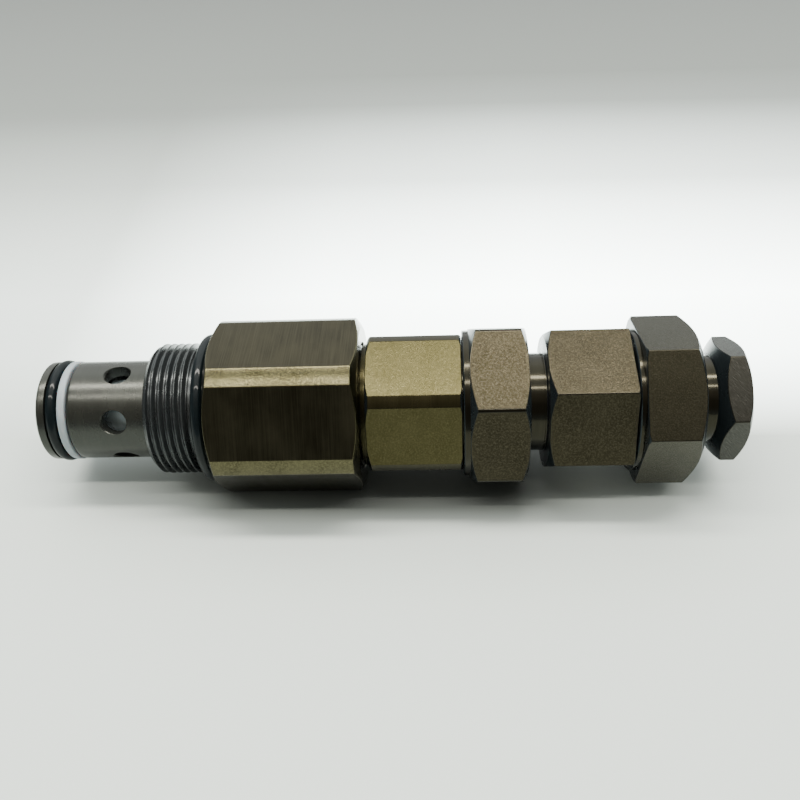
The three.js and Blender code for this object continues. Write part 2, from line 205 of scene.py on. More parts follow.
def turned(name, corners, count=STEPS_AROUND):
    """A plain turned piece."""
    outline = fillet(corners)
    return revolve(name, lambda angle: outline, even_angles(count), 35)


def torus(name, x, radius, section):
    """A ring of round section, given by its thickness."""
    outline = []
    for i in range(RING_SIDES):
        a = TURN * i / RING_SIDES
        outline.append((x + section / 2 * math.cos(a), radius + section / 2 * math.sin(a)))
    return revolve(name, lambda angle: outline, even_angles(STEPS_AROUND))


def ring_from_cad(name, section):
    """An O-ring where the CAD node is."""
    low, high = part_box(name)
    x = (low.x + high.x) / 2 / MM
    outer = (high.z - low.z) / 2 / MM
    return torus(name + "_fine", x, outer - section / 2, section)


def groove(start, end, floor, land):
    """The corners of a square groove in a surface of radius land."""
    return [(start, land, 0.1), (start, floor, 0.1), (end, floor, 0.1), (end, land, 0.1)]


# ---- hexagons ----

CORNER_ROUND = 0.35
NUT_1_ROUND = 1.2
TURNED_BLEND = 0.06

# The least height of a chamfer, so that each end of a hexagon has an edge to catch light.
EDGE = 0.22


def to_corner(angle, corner_degrees):
    """The angle to the nearest corner of a hexagon, as a positive number."""
    sixth = TURN / 6
    offset = (angle - math.radians(corner_degrees)) % sixth
    return min(offset, sixth - offset)


def hex_radius(angle, flats, corner_degrees, rounding=CORNER_ROUND):
    """The radius of a hexagon with rounded corners, at an angle round the axis."""
    away = to_corner(angle, corner_degrees)
    apothem = flats / 2
    half = math.pi / 6
    centre = (apothem - rounding) / math.cos(half)
    tangent = math.atan2(rounding * math.sin(half), centre + rounding * math.cos(half))
    if away < tangent:
        return centre * math.cos(away) + math.sqrt(rounding**2 - (centre * math.sin(away)) ** 2)
    return apothem / math.cos(half - away)


def soft_min(a, b, blend):
    """The smaller of two values, rounded where they are closer than blend."""
    h = max(blend - abs(a - b), 0) / blend
    return min(a, b) - h * h * blend / 4


# Where a hexagon's surface turns quickly: shares of a rounded corner's width, and degrees
# from the place where a flat meets the turned corner.
CORNER_SHARES = (0.1, 0.2, 0.3, 0.4, 0.5, 0.65, 1.0)
TURNED_STEPS = (-1.2, -0.8, -0.5, -0.25, 0, 0.25, 0.5, 0.8, 1.2)
CLOSEST_ANGLES = 2e-4
FLAT_STEPS = 22


def hex_angles(flats, corner_degrees, turned_radius=None, rounding=CORNER_ROUND):
    """Angles round a hexagon, close together where its surface turns quickly."""
    half = math.pi / 6
    offsets = {0.0}
    bend = rounding / (flats / math.sqrt(3))
    for share in CORNER_SHARES:
        offsets.add(share * bend)
    if turned_radius:
        edge = half - math.acos(min(1, flats / 2 / turned_radius))
        for step in TURNED_STEPS:
            offsets.add(max(edge + math.radians(step), 0))
    flat_start = bend * 1.3
    for i in range(FLAT_STEPS + 1):
        offsets.add(flat_start + (half - flat_start) * i / FLAT_STEPS)
    ordered = sorted(offsets)
    kept = [ordered[0]]
    for value in ordered[1:]:
        if value - kept[-1] > CLOSEST_ANGLES:
            kept.append(value)
    angles = []
    for i in range(6):
        corner = math.radians(corner_degrees) + i * TURN / 6
        angles += [corner + value for value in kept]
        angles += [corner + TURN / 6 - value for value in reversed(kept[1:-1])]
    return angles


def hex_corners(angle, start, end, flats, corner_degrees, face_radii, turned_radius=None,
                rounding=CORNER_ROUND):
    """The outline corners of a hexagon from x = start to end, chamfered at both ends from
    the given face radii outwards."""
    radius = hex_radius(angle, flats, corner_degrees, rounding)
    if turned_radius:
        radius = soft_min(radius, turned_radius, TURNED_BLEND)
    first = min(face_radii[0], radius - EDGE)
    last = min(face_radii[1], radius - EDGE)
    return [
        (start, first, 0.12),
        (start + (radius - first) * CHAMFER_SLOPE, radius, 0.16),
        (end - (radius - last) * CHAMFER_SLOPE, radius, 0.16),
        (end, last, 0.12),
    ]


def flatten_normals(piece):
    """Large faces keep their own direction and only the rounded edges turn."""
    modifier = piece.modifiers.new("normals", "WEIGHTED_NORMAL")
    modifier.weight = 60
    modifier.keep_sharp = True


# ---- materials ----

class Nodes:
    """Adds and links the nodes of a shader tree."""

    def __init__(self, tree):
        self.tree = tree

    def add(self, kind, **settings):
        node = self.tree.nodes.new(kind)
        for key, value in settings.items():
            setattr(node, key, value)
        return node

    def link(self, source, target):
        self.tree.links.new(source, target)

    def noise(self, scale, detail=3, rough=0.5, vector=None):
        """Noise of the object's coordinates, or of any vector, with scale repeats in a metre
        along each of its three parts."""
        if vector is None:
            vector = self.add("ShaderNodeTexCoord").outputs["Object"]
        mapping = self.add("ShaderNodeMapping")
        mapping.inputs["Scale"].default_value = scale
        self.link(vector, mapping.inputs["Vector"])
        node = self.add("ShaderNodeTexNoise")
        node.inputs["Scale"].default_value = 1
        node.inputs["Detail"].default_value = detail
        node.inputs["Roughness"].default_value = rough
        self.link(mapping.outputs["Vector"], node.inputs["Vector"])
        return node.outputs["Fac"]

    def parts(self, coordinates):
        """The X, Y and Z of one kind of texture coordinates."""
        source = self.add("ShaderNodeTexCoord")
        node = self.add("ShaderNodeSeparateXYZ")
        self.link(source.outputs[coordinates], node.inputs[0])
        return node.outputs["X"], node.outputs["Y"], node.outputs["Z"]

    def math(self, operation, first, second=0):
        """One step of arithmetic on a value, or on two."""
        node = self.add("ShaderNodeMath", operation=operation)
        for value, socket in ((first, node.inputs[0]), (second, node.inputs[1])):
            if isinstance(value, (int, float)):
                socket.default_value = value
            else:
                self.link(value, socket)
        return node.outputs[0]

    def around(self, y, z):
        """The angle round the X axis, in radians from -Y towards +Z."""
        return self.math("ARCTAN2", z, self.math("MULTIPLY", y, -1))

    def aslant(self, radius):
        """Two coordinates at 45 degrees to the axis, on a surface of this radius round it."""
        x, y, z = self.parts("Object")
        round_axis = self.math("MULTIPLY", self.around(y, z), radius)
        joined = self.add("ShaderNodeCombineXYZ")
        self.link(self.math("ADD", x, round_axis), joined.inputs[0])
        self.link(self.math("SUBTRACT", x, round_axis), joined.inputs[1])
        return joined.outputs[0]

    def spread(self, value, low, high, from_low=0.3, from_high=0.7):
        """A value between from_low and from_high, made to run from low to high."""
        node = self.add("ShaderNodeMapRange")
        node.inputs["From Min"].default_value = from_low
        node.inputs["From Max"].default_value = from_high
        node.inputs["To Min"].default_value = low
        node.inputs["To Max"].default_value = high
        self.link(value, node.inputs["Value"])
        return node.outputs["Result"]

    def bump(self, height, depth, below=None):
        """Bump of a real depth in millimetres."""
        node = self.add("ShaderNodeBump")
        node.inputs["Strength"].default_value = 1
        node.inputs["Distance"].default_value = depth * MM
        self.link(height, node.inputs["Height"])
        if below is not None:
            self.link(below, node.inputs["Normal"])
        return node.outputs["Normal"]


# The colour sockets of a mix node, which share their names with its other kinds.
MIX_FIRST, MIX_SECOND, MIX_RESULT = 6, 7, 2


def mix_colors(nodes, factor, first, second):
    """From the first colour to the second, as factor goes from 0 to 1."""
    node = nodes.add("ShaderNodeMix", data_type="RGBA")
    nodes.link(factor, node.inputs["Factor"])
    for value, socket in ((first, node.inputs[MIX_FIRST]), (second, node.inputs[MIX_SECOND])):
        if isinstance(value, tuple):
            socket.default_value = (*value, 1)
        else:
            nodes.link(value, socket)
    return node.outputs[MIX_RESULT]


def multiply(nodes, first, second):
    """The product of two colours."""
    node = nodes.add("ShaderNodeMix", data_type="RGBA", blend_type="MULTIPLY")
    node.inputs["Factor"].default_value = 1
    nodes.link(first, node.inputs[MIX_FIRST])
    nodes.link(second, node.inputs[MIX_SECOND])
    return node.outputs[MIX_RESULT]


def new_material(name):
    """A material, the helper for its nodes, and its shader."""
    material = bpy.data.materials.new(name)
    material.use_nodes = True
    return material, Nodes(material.node_tree), material.node_tree.nodes["Principled BSDF"]


# The length of one tool line, in millimetres.
LINE_LENGTH = 18


def machined(name, dark, light, roughness, line, depth, metallic=1, gloss=0.5):
    """Plated steel with fine tool lines that run round the axis. line is their spacing and
    depth their depth, in millimetres."""
    material, nodes, shader = new_material(name)
    shader.inputs["Metallic"].default_value = metallic
    shader.inputs["Specular IOR Level"].default_value = gloss
    lengthwise = 1 / (LINE_LENGTH * MM)
    fine = nodes.noise((1 / (line * MM), lengthwise, lengthwise), 3, 0.6)
    broad = nodes.noise((160, 90, 90), 4, 0.55)
    tone = mix_colors(nodes, nodes.spread(broad, 0, 0.5, 0.35, 0.65), dark, light)
    streaked = mix_colors(nodes, nodes.spread(fine, 0, 0.7, 0.42, 0.68), tone, light)
    nodes.link(streaked, shader.inputs["Base Color"])
    rough = nodes.spread(broad, roughness * 0.85, roughness * 1.2, 0.3, 0.7)
    nodes.link(rough, shader.inputs["Roughness"])
    nodes.link(nodes.bump(fine, depth), shader.inputs["Normal"])
    return material


def grained(name, dark, light, roughness, grain, depth, speckle=0.6, patchy=0.25):
    """Forged and blasted steel under plating: an even grain with bright specks. grain is
    their size and depth the grain's depth, in millimetres."""
    material, nodes, shader = new_material(name)
    shader.inputs["Metallic"].default_value = 1
    per_metre = 1 / (grain * MM)
    fine = nodes.noise((per_metre, per_metre, per_metre), 5, 0.72)
    broad = nodes.noise((120, 120, 120), 3, 0.5)
    tone = mix_colors(nodes, nodes.spread(broad, 0, patchy, 0.3, 0.7), dark, light)
    specks = mix_colors(nodes, nodes.spread(fine, 0, speckle, 0.44, 0.66), tone, light)
    nodes.link(specks, shader.inputs["Base Color"])
    rough = nodes.spread(fine, roughness * 1.15, roughness * 0.8, 0.35, 0.7)
    nodes.link(rough, shader.inputs["Roughness"])
    nodes.link(nodes.bump(fine, depth), shader.inputs["Normal"])
    return material


def brushed(name, dark, light, roughness, radius, line, along, depth):
    """Plated steel with brush lines that run aslant round a hexagon of the given radius.
    line is their spacing, along their length and depth their depth, in millimetres."""
    material, nodes, shader = new_material(name)
    shader.inputs["Metallic"].default_value = 1
    scale = (1 / (line * MM), 1 / (along * MM), 0)
    lines = nodes.noise(scale, 3, 0.55, nodes.aslant(radius * MM))
    grain = nodes.noise((3200, 3200, 3200), 2, 0.5)
    tone = mix_colors(nodes, nodes.spread(lines, 0, 0.9, 0.4, 0.66), dark, light)
    speckled = mix_colors(nodes, nodes.spread(grain, 0, 0.3, 0.45, 0.7), tone, light)
    nodes.link(speckled, shader.inputs["Base Color"])
    nodes.link(nodes.spread(lines, roughness * 1.15, roughness * 0.85), shader.inputs["Roughness"])
    fine = nodes.bump(grain, depth * 0.6)
    nodes.link(nodes.bump(lines, depth, fine), shader.inputs["Normal"])
    return material


def rubber(name):
    """Black rubber with a thin gloss of oil."""
    material, nodes, shader = new_material(name)
    shader.inputs["Specular IOR Level"].default_value = 0.05
    shader.inputs["Coat Weight"].default_value = 0.2
    shader.inputs["Coat Roughness"].default_value = 0.045
    fine = nodes.noise((2500, 2500, 2500))
    dark, light = (0.0014, 0.0030, 0.0038), (0.0034, 0.0062, 0.0074)
    tone = mix_colors(nodes, nodes.spread(fine, 0, 1), dark, light)
    nodes.link(tone, shader.inputs["Base Color"])
    nodes.link(nodes.spread(fine, 0.30, 0.42), shader.inputs["Roughness"])
    nodes.link(nodes.bump(fine, 0.004), shader.inputs["Normal"])
    return material


def ptfe(name):
    """White plastic that light enters a little."""
    material, nodes, shader = new_material(name)
    shader.inputs["Subsurface Weight"].default_value = 0.2
    shader.inputs["Subsurface Scale"].default_value = 0.001
    fine = nodes.noise((1800, 300, 300))
    dark, light = (0.20, 0.235, 0.26), (0.27, 0.305, 0.33)
    tone = mix_colors(nodes, nodes.spread(fine, 0, 1), dark, light)
    nodes.link(tone, shader.inputs["Base Color"])
    nodes.link(nodes.spread(fine, 0.38, 0.55), shader.inputs["Roughness"])
    nodes.link(nodes.bump(fine, 0.004), shader.inputs["Normal"])
    return material


# The colours are set against the bright room below, so they are darker than real ones.
BODY_MILLED = machined(
    "body_milled", (0.0210, 0.0190, 0.0117), (0.0385, 0.0352, 0.0230), 0.36,
    line=0.32, depth=0.008)
BODY_TURNED = grained(
    "body_turned", (0.039, 0.0350, 0.0185), (0.100, 0.0920, 0.0510), 0.17,
    grain=0.45, depth=0.036, speckle=1.0, patchy=0.5)
SLEEVE_TURNED = machined(
    "sleeve_turned", (0.029, 0.0310, 0.0272), (0.042, 0.0440, 0.0385), 0.26,
    line=0.15, depth=0.0012, metallic=0.75)
THREAD_TURNED = machined(
    "thread_turned", (0.0235, 0.0280, 0.0300), (0.038, 0.0415, 0.0425), 0.26,
    line=0.3, depth=0.004, metallic=0.6)
NECK_TURNED = machined(
    "neck_turned", (0.0185, 0.0172, 0.0125), (0.0300, 0.0280, 0.0205), 0.14,
    line=0.15, depth=0.0008)
GOLD_MILLED = grained(
    "gold_milled", (0.0330, 0.0295, 0.0122), (0.0610, 0.0545, 0.0262), 0.31,
    grain=0.42, depth=0.026, speckle=0.9, patchy=0.4)
GOLD_TURNED = machined(
    "gold_turned", (0.0285, 0.0260, 0.0125), (0.0440, 0.0390, 0.0210), 0.25,
    line=0.2, depth=0.003)
NUT_GRAIN = grained(
    "nut_grain", (0.0165, 0.0143, 0.0086), (0.0440, 0.0386, 0.0255), 0.32,
    grain=0.46, depth=0.09, speckle=1.0)
ADJUSTER_GRAIN = grained(
    "adjuster_grain", (0.0205, 0.0178, 0.0110), (0.0480, 0.0422, 0.0278), 0.32,
    grain=0.46, depth=0.08, speckle=1.0)
DARK_GRAIN = grained(
    "dark_grain", (0.0265, 0.0250, 0.0165), (0.0560, 0.0530, 0.0370), 0.34,
    grain=0.38, depth=0.07, speckle=1.0)
PLUG_BRUSHED = brushed(
    "plug_brushed", (0.0265, 0.0262, 0.0225), (0.0520, 0.0515, 0.0450), 0.30,
    radius=15, line=0.3, along=2.6, depth=0.02)
END_TURNED = machined(
    "end_turned", (0.0130, 0.0175, 0.0200), (0.0210, 0.0270, 0.0300), 0.28,
    line=0.2, depth=0.003, metallic=0.6, gloss=0.15)
HARD_STEEL = machined(
    "hard_steel", (0.34, 0.425, 0.460), (0.48, 0.560, 0.590), 0.25,
    line=0.12, depth=0.001, metallic=0.5)
SPRING_STEEL = grained(
    "spring_steel", (0.07, 0.073, 0.075), (0.12, 0.124, 0.126), 0.35,
    grain=0.3, depth=0.006)
RUBBER = rubber("seal_rubber")
PTFE = ptfe("white_ptfe")


def add_material(piece, material):
    """One more material on a piece, and its index."""
    piece.data.materials.append(material)
    return len(piece.data.materials) - 1


def paint_flats(piece, material, flats, corner_degrees, reach):
    """A material of their own on the six flats of a hexagon, between reach's two x."""
    index = add_material(piece, material)
    for face in piece.data.polygons:
        normal = face.normal
        x = face.center.x / MM
        radius = math.hypot(face.center.y, face.center.z) / MM
        outside = radius >= flats / 2 - 1 and reach[0] < x < reach[1]
        if abs(normal.x) > 0.05 or not outside:
            continue
        angle = math.atan2(normal.z, -normal.y)
        off_flat = abs(to_corner(angle, corner_degrees) - math.pi / 6)
        if off_flat < math.radians(2):
            face.material_index = index


def paint_ends(piece):
    """The faces that look along the axis, ends and chamfers, in the ends' own material."""
    index = add_material(piece, END_TURNED)
    for face in piece.data.polygons:
        if abs(face.normal.x) > 0.6:
            face.material_index = index


def settle(piece, body, slot_name, *nodes):
    """Hangs a finished piece on its body, in place of its CAD nodes."""
    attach(piece, body)
    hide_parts(*nodes)


def place_o_ring(node, section, body):
    """An O-ring of this thickness, where the CAD has it."""
    ring = ring_from_cad(node, section)
    add_material(ring, RUBBER)
    settle(ring, body, "seal_rubber", node)


# ---- nose: sleeve, seals, main poppet and spring ----

SLEEVE_RADIUS = 13.55
DISC_RADIUS = 13.7
INLET_RADIUS = 7.5
MAIN_SEAT = -79
SHOULDER_START = -59.7
PORTS_AT = -73
PORT_COUNT = 6
PORT_FIRST = 26.5
PORT_RADIUS = 3.35
PORT_MOUTH = 3.6

# Grooves for seals: where they start and end, and the radius of their floor.
NOSE_GROOVE = (-91.8, -85.9, 10.7)
SLEEVE_GROOVE = (-55.2, -52.6, 12.5)

# Rings of points along the sleeve, so that its faces stay short where the ports cut them.
SLEEVE_ROWS = 14
ROW_SPACING = 1.6


def port_cutter(angle):
    """A drill with a countersink at the sleeve's outside, along the port's direction."""
    tip = 6
    past = 0.6
    mouth_depth = PORT_MOUTH - PORT_RADIUS
    corners = [
        (tip, 0),
        (tip, PORT_RADIUS),
        (SLEEVE_RADIUS - mouth_depth - 0.25, PORT_RADIUS),
        (SLEEVE_RADIUS + past, PORT_MOUTH + past),
        (SLEEVE_RADIUS + 2, PORT_MOUTH + past),
        (SLEEVE_RADIUS + 2, 0),
    ]
    outline = [Vector(corner) for corner in corners]
    cutter = revolve("cutter", lambda turn: outline, even_angles(48))
    spin = Matrix.Rotation(math.pi - math.radians(angle), 4, "X")
    stand = Matrix.Rotation(math.pi / 2, 4, "Z")
    place = Matrix.Translation((PORTS_AT * MM, 0, 0))
    cutter.data.transform(place @ spin @ stand)
    return cutter


def cut(piece, cutter):
    """Takes the cutter's shape out of the piece."""
    modifier = piece.modifiers.new("cut", "BOOLEAN")
    modifier.operation = "DIFFERENCE"
    modifier.solver = "EXACT"
    modifier.object = cutter
    shown = bpy.context.evaluated_depsgraph_get()
    made = bpy.data.meshes.new_from_object(piece.evaluated_get(shown))
    piece.modifiers.clear()
    old = piece.data
    piece.data = made
    bpy.data.meshes.remove(old)
    bpy.data.objects.remove(cutter)


def sleeve():
    start, end = span("sleeve")
    groove_start, groove_end, groove_floor = NOSE_GROOVE
    seat_end = MAIN_SEAT + 1.4
    outer = [
        (start, INLET_RADIUS + 0.8, 0.15),
        (start, DISC_RADIUS - 0.55, 0.2),
        (start + 0.5, DISC_RADIUS, 0.2),
        (groove_start, DISC_RADIUS, 0.15),
        (groove_start, groove_floor, 0.2),
        (groove_end, groove_floor, 0.2),
        (groove_end, SLEEVE_RADIUS - 0.5, 0.15),
        (groove_end + 0.5, SLEEVE_RADIUS, 0.35),
    ]
    for i in range(SLEEVE_ROWS):
        outer.append((groove_end + 1.5 + i * ROW_SPACING, SLEEVE_RADIUS))
    outer += [
        (SHOULDER_START, SLEEVE_RADIUS, 0.1),
        (SHOULDER_START, SHOULDER_RADIUS, 0.2),
        *groove(*SLEEVE_GROOVE, SHOULDER_RADIUS),
        (end, SHOULDER_RADIUS, 0.2),
        (end, POPPET_BORE, 0.2),
        (seat_end, POPPET_BORE, 0.2),
        (seat_end, INLET_RADIUS + 1.4, 0.05),
        (MAIN_SEAT, INLET_RADIUS, 0.05),
        (start + 0.8, INLET_RADIUS, 0.1),
    ]
    outline = fillet(outer + [outer[0]])[:-1]
    piece = revolve("sleeve_fine", lambda angle: outline, even_angles(180))
    for i in range(PORT_COUNT):
        cut(piece, port_cutter(PORT_FIRST + 360 / PORT_COUNT * i))
    piece.data.set_sharp_from_angle(angle=math.radians(28))
    add_material(piece, SLEEVE_TURNED)
    settle(piece, "body", "bronze_plated", "sleeve")


def nose_seals():
    place_o_ring("nose_o_ring", 3.1, "body")
    start, end = span("nose_backup_ring")
    inner, outer = 11, 13.75
    backup = turned("nose_backup_ring_fine", [
        (start, inner, 0.1),
        (start, outer, 0.45),
        (end, outer, 0.45),
        (end, inner, 0.1),
        (start, inner),
    ])
    add_material(backup, PTFE)
    settle(backup, "body", "white_ptfe", "nose_backup_ring")
    place_o_ring("sleeve_o_ring", 2.1, "body")


def balance_groove(at, radius):
    """The corners of a small V groove round a sliding piece."""
    return [(at - 0.4, radius, 0.05), (at, radius - 0.4, 0.05), (at + 0.4, radius, 0.05)]


def main_poppet():
    start, end = span("main_poppet")
    guide = POPPET_BORE - SLIDING_GAP
    stem, bore = 8.3, 7.4
    recess, bore_end = start + 1.2, -75
    piece = turned("main_poppet_fine", [
        (start, 0),
        (start, 0.6, 0.1),
        (recess, 0.6, 0.1),
        (recess, 2.2, 0.1),
        (start, 2.4, 0.1),
        (start, 6.3, 0.3),
        (start + 0.8, 6.9, 0.2),
        (start + 3.2, stem, 0.3),
        (-68, stem, 0.4),
        (-67, guide, 0.3),
        *balance_groove(-61.6, guide),
        *balance_groove(-56.6, guide),
        (end, guide, 0.3),
        (end, bore, 0.3),
        (bore_end, bore, 0.6),
        (bore_end, 0),
    ])
    add_material(piece, HARD_STEEL)
    settle(piece, "main_poppet", "hard_steel", "main_poppet")


def spring(name, node, outer_radius, wire, turns):
    """A compression spring of round wire with its end turns closed."""
    start, end = span(node)
    radius = outer_radius - wire / 2
    dead = 1 / turns                        # the share of the turns that is closed, at each end
    step = 1.05 * wire                      # the rise of a closed turn
    free = end - start - wire - 2 * step    # what the open turns cover
    steps, sides = 40 * turns, 16
    verts, faces = [], []
    for i in range(steps + 1):
        t = i / steps
        live = min(max((t - dead) / (1 - 2 * dead), 0), 1)
        closed = min(t, dead) + max(t - (1 - dead), 0)
        x = start + wire / 2 + closed / dead * step + live * free
        angle = TURN * turns * t
        for k in range(sides):
            a = TURN * k / sides
            r = radius + wire / 2 * math.cos(a)
            verts.append((x + wire / 2 * math.sin(a), r * math.cos(angle), r * math.sin(angle)))
    for i in range(steps):
        for k in range(sides):
            n = (k + 1) % sides
            here, there = i * sides, (i + 1) * sides
            faces.append((here + k, here + n, there + n, there + k))
    faces.append(tuple(range(sides)))
    faces.append(tuple(steps * sides + k for k in reversed(range(sides))))
    piece = finish_mesh(name, verts, faces, 40)
    add_material(piece, SPRING_STEEL)
    return piece


def main_spring():
    piece = spring("main_spring_fine", "main_spring", outer_radius=6.9, wire=1.6, turns=8)
    settle(piece, "body", "spring_steel", "main_spring")
    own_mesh(piece)


# ---- body ----

THREAD_CREST = 18.1
THREAD_DEPTH = 1.3
THREAD_PITCH = 2
THREAD_END = -52.1
THREAD_CREST_AT = -63.5
THREAD_CREST_ANGLE = math.radians(121)
RELIEF_RADIUS = 16.2
RELIEF_END = -50.6
O_RING_LAND = 16.75
BODY_TURNED_RADIUS = 24.05
BODY_BORE = 15
HOUSING_BORE = 16.3
HOUSING_BORE_START = -31.9
BODY_MOUTH = 17.4
BODY_MOUTH_START = -9.8
THREAD_ROWS = 118

# The shares of a pitch, from a crest, at which the thread's flank starts and ends.
FLANK_START, FLANK_END = 0.06, 0.42


def thread_radius(x, angle):
    """The radius of the right-hand male thread at x and an angle round the axis."""
    turns = (x - THREAD_CREST_AT) / THREAD_PITCH + (angle - THREAD_CREST_ANGLE) / TURN
    from_crest = abs((turns + 0.5) % 1 - 0.5)
    flank = min(max((from_crest - FLANK_START) / (FLANK_END - FLANK_START), 0), 1)
    rounded = flank * flank * (3 - 2 * flank)
    return THREAD_CREST - THREAD_DEPTH * (0.75 * flank + 0.25 * rounded)


def valve_body():
    start, end = span("valve_body")
    neck = SLEEVE_RADIUS + 0.3
    neck_end = SHOULDER_START - 0.3
    lead_radius = THREAD_CREST - THREAD_DEPTH - 0.3
    first_row = start + 0.08

    def outline(angle):
        points = fillet([
            (HOUSING_BORE_START, BODY_BORE),
            (neck_end, BODY_BORE, 0.2),
            (neck_end, neck, 0.1),
            (start, neck, 0.2),
        ])
        points.append(Vector((start, lead_radius - 0.25)))
        for i in range(THREAD_ROWS + 1):
            x = first_row + (THREAD_END - first_row) * i / THREAD_ROWS
            lead = lead_radius + x - start
            points.append(Vector((x, soft_min(thread_radius(x, angle), lead, 0.1))))
        face = hex_corners(angle, SEAT_FACE, end, BODY_FLATS, BODY_CORNER, (21.7, 21.6),
                           BODY_TURNED_RADIUS)
        rest = [
            (THREAD_END, RELIEF_RADIUS),
            (RELIEF_END, RELIEF_RADIUS, 0.2),
            (RELIEF_END, O_RING_LAND, 0.1),
            (SEAT_FACE, O_RING_LAND, 0.3),
            *face,
            (end, BODY_MOUTH, 0.2),
            (BODY_MOUTH_START, BODY_MOUTH, 0.1),
            (BODY_MOUTH_START, HOUSING_BORE, 0.1),
            (HOUSING_BORE_START, HOUSING_BORE, 0.1),
            (HOUSING_BORE_START, BODY_BORE),
        ]
        return points + fillet(rest)[:-1]

    angles = hex_angles(BODY_FLATS, BODY_CORNER, BODY_TURNED_RADIUS)
    piece = revolve("valve_body_fine", outline, angles, 50)
    add_material(piece, BODY_TURNED)
    paint_flats(piece, BODY_MILLED, BODY_FLATS, BODY_CORNER, (SEAT_FACE, end))
    thread = add_material(piece, THREAD_TURNED)
    for face in piece.data.polygons:
        if face.center.x / MM < SEAT_FACE - 0.1:
            face.material_index = thread
    flatten_normals(piece)
    settle(piece, "body", "bronze_plated", "valve_body")
    place_o_ring("port_o_ring", 3.4, "body")


# ---- pilot stage ----

COLLAR_RADIUS = 6.8
GUIDE_PIN = 3.4
HOUSING_TURNED_RADIUS = 19.9

# A groove for a seal: where it starts and ends, and the radius of its floor.
PILOT_GROOVE = (-42.4, -39.8, 12.5)


def pilot_seat():
    start, end = span("pilot_seat")
    pocket, pocket_end, hole = 7.6, -43.8, 2
    piece = turned("pilot_seat_fine", [
        (start, pocket, 0.2),
        (start, SHOULDER_RADIUS, 0.2),
        *groove(*PILOT_GROOVE, SHOULDER_RADIUS),
        (end, SHOULDER_RADIUS, 0.2),
        (end, 3, 0.1),
        (-37.3, hole, 0.1),
        (pocket_end, hole, 0.1),
        (pocket_end, pocket, 0.3),
        (start, pocket),
    ])
    add_material(piece, HARD_STEEL)
    settle(piece, "body", "hard_steel", "pilot_seat")
    place_o_ring("pilot_seat_o_ring", 2.1, "body")


def pilot_poppet():
    start, end = span("pilot_poppet")
    stem = 3.5
    collar_start, collar_end = -32.5, -30.5
    piece = turned("pilot_poppet_fine", [
        (start, 0),
        (start, 0.4, 0.1),
        (-34.5, stem, 0.3),
        (collar_start, stem, 0.3),
        (collar_start, COLLAR_RADIUS, 0.2),
        (collar_end, COLLAR_RADIUS, 0.2),
        (collar_end, GUIDE_PIN, 0.2),
        (end - 0.4, GUIDE_PIN, 0.1),
        (end, GUIDE_PIN - 0.4, 0.1),
        (end, 0),
    ], 96)
    add_material(piece, HARD_STEEL)
    settle(piece, "pilot_poppet", "hard_steel", "pilot_poppet")


def pilot_spring():
    piece = spring("pilot_spring_fine", "pilot_spring", outer_radius=6.6, wire=2.2, turns=8)
    settle(piece, "signal_piston", "spring_steel", "pilot_spring")
    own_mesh(piece)


def spring_seat():
    start, end = span("spring_seat")
    collar_start = 4
    piece = turned("spring_seat_fine", [
        (start, 0),
        (start, GUIDE_PIN - 0.4, 0.1),
        (start + 0.4, GUIDE_PIN, 0.1),
        (collar_start, GUIDE_PIN, 0.2),
        (collar_start, COLLAR_RADIUS, 0.2),
        (end, COLLAR_RADIUS, 0.2),
        (end, 0),
    ], 96)
    add_material(piece, HARD_STEEL)
    settle(piece, "signal_piston", "hard_steel", "spring_seat")


def pilot_housing():
    start, end = span("pilot_housing")
    hex_start = -5.2
    screwed_start, screwed_end, screwed = -31.5, -9.9, 16
    relief = 15.2
    collar, collar_start = 16.75, span("valve_body")[1] + 0.3
    bore, stem_bore = 9, STEM_RADIUS + 0.3
    stem_end, thread_end = -16, -2.5

    def outline(angle):
        hexagon = hex_corners(angle, hex_start, end, HOUSING_FLATS, HOUSING_CORNER,
                              (18.3, 19), HOUSING_TURNED_RADIUS)
        corners = [
            (start, bore, 0.2),
            (start, SHOULDER_RADIUS - 0.5, 0.3),
            (start + 0.5, SHOULDER_RADIUS, 0.2),
            (screwed_start, SHOULDER_RADIUS, 0.2),
            (screwed_start, screwed, 0.3),
            (screwed_end, screwed, 0.2),
            (screwed_end, relief, 0.2),
            (collar_start, relief, 0.2),
            (collar_start, collar, 0.15),
            (hex_start, collar, 0.1),
            *hexagon,
            (end, NUT_BORE, 0.4),
            (thread_end, NUT_BORE, 0.2),
            (thread_end, stem_bore, 0.3),
            (stem_end, stem_bore, 0.2),
            (stem_end, bore, 0.3),
            (start, bore),
        ]
        return fillet(corners)[:-1]

    angles = hex_angles(HOUSING_FLATS, HOUSING_CORNER, HOUSING_TURNED_RADIUS)
    piece = revolve("pilot_housing_fine", outline, angles, 50)
    add_material(piece, GOLD_TURNED)
    paint_flats(piece, GOLD_MILLED, HOUSING_FLATS, HOUSING_CORNER, (hex_start, end))
    paint_ends(piece)
    flatten_normals(piece)
    settle(piece, "body", "gold_plated", "pilot_housing")
    place_o_ring("housing_o_ring", 1.9, "body")


# ---- adjustment ----

# Grooves for seals: where they start and end, and the radius of their floor.
STEM_GROOVE = (-6.5, -4.1, 9.1)
PISTON_GROOVE = (43.8, 46.2, 8.2)
PLUG_GROOVE = (53.1, 55.5, 9.7)


